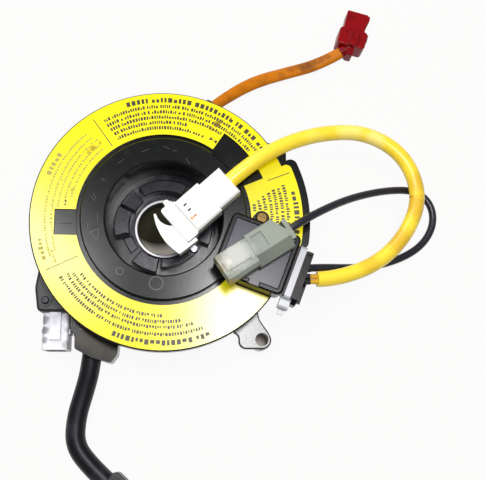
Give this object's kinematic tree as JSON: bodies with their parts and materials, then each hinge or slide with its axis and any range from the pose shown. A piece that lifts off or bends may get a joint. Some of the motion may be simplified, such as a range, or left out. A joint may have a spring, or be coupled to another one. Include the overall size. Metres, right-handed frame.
{
  "type": "steering clock spring",
  "caption": "Steering clock spring with a labelled rotor disc turning in a round case, an open hub well, an outlet box and sleeved leads that end in connectors.",
  "frame": {"origin": "on the rotor axis in the plane of the rear faces", "axes": "+Z out of the labelled face along the rotor axis, +X towards the lobe and the outlet box side, +Y away from the column connector"},
  "size_m": [0.1733, 0.2292, 0.0476],
  "materials": {
    "black_moulding": "black glass-filled nylon, fine moulded grain",
    "black_gloss": "polished black nylon, handling scratches",
    "cam_moulding": "dark grey acetal, moulded",
    "yellow_label": "printed yellow vinyl label, faded and smudged",
    "bright_bush": "turned light metal, satin",
    "zinc_screw": "zinc plated steel",
    "box_moulding": "dark violet grey moulding, semi gloss",
    "natural_nylon": "natural nylon, slightly translucent",
    "white_connector": "white nylon connector",
    "clear_connector": "translucent natural nylon connector",
    "tin_terminal": "tin plated terminal",
    "yellow_conduit": "yellow vinyl sleeve",
    "black_wire": "black vinyl insulation",
    "yellow_wire": "yellow vinyl insulation",
    "rubber_seal": "black rubber",
    "orange_tape": "taped orange lead, dirty",
    "red_connector": "red nylon connector",
    "black_sleeve": "black vinyl sleeve with a taped seam",
    "ribbon_film": "polyester film with copper tracks",
    "glide_film": "low friction film"
  },
  "bodies": {
    "stator": {"stator_case": "black_moulding", "connector_cover": "black_moulding", "cover_screw": "zinc_screw", "column_connector": "white_connector", "column_pins": "tin_terminal", "glide_sheet": "glide_film", "ribbon_cable": "ribbon_film", "outer_clamp": "black_moulding", "airbag_lead": "orange_tape", "lead_connector": "red_connector", "lead_connector_lock": "red_connector", "harness_sleeve": "black_sleeve", "harness_plug": "black_moulding"},
    "rotor": {"rotor_disc": "black_gloss", "face_label": "yellow_label", "cancel_cam": "cam_moulding", "shaft_collar": "bright_bush", "hub_screw": "zinc_screw", "outlet_box": "box_moulding", "outlet_lid": "box_moulding", "outlet_screw": "zinc_screw", "wire_grommet": "rubber_seal", "terminal_block": "black_moulding", "inner_leads": "black_wire", "inner_clamp": "black_moulding", "cable_tie": "natural_nylon", "airbag_wires": "yellow_wire", "yellow_sleeve": "yellow_conduit", "squib_connector": "white_connector", "squib_lock": "white_connector", "horn_wire": "black_wire", "horn_connector": "clear_connector", "horn_terminal": "tin_terminal"}
  },
  "joints": [
    {"name": "rotor_turn", "type": "hinge", "parent": "stator", "child": "rotor", "pos_m": [0, 0, 0], "axis": [0, 0, 1], "range_deg": [-1080, 1080], "deforming": ["ribbon_cable"]}
  ]
}
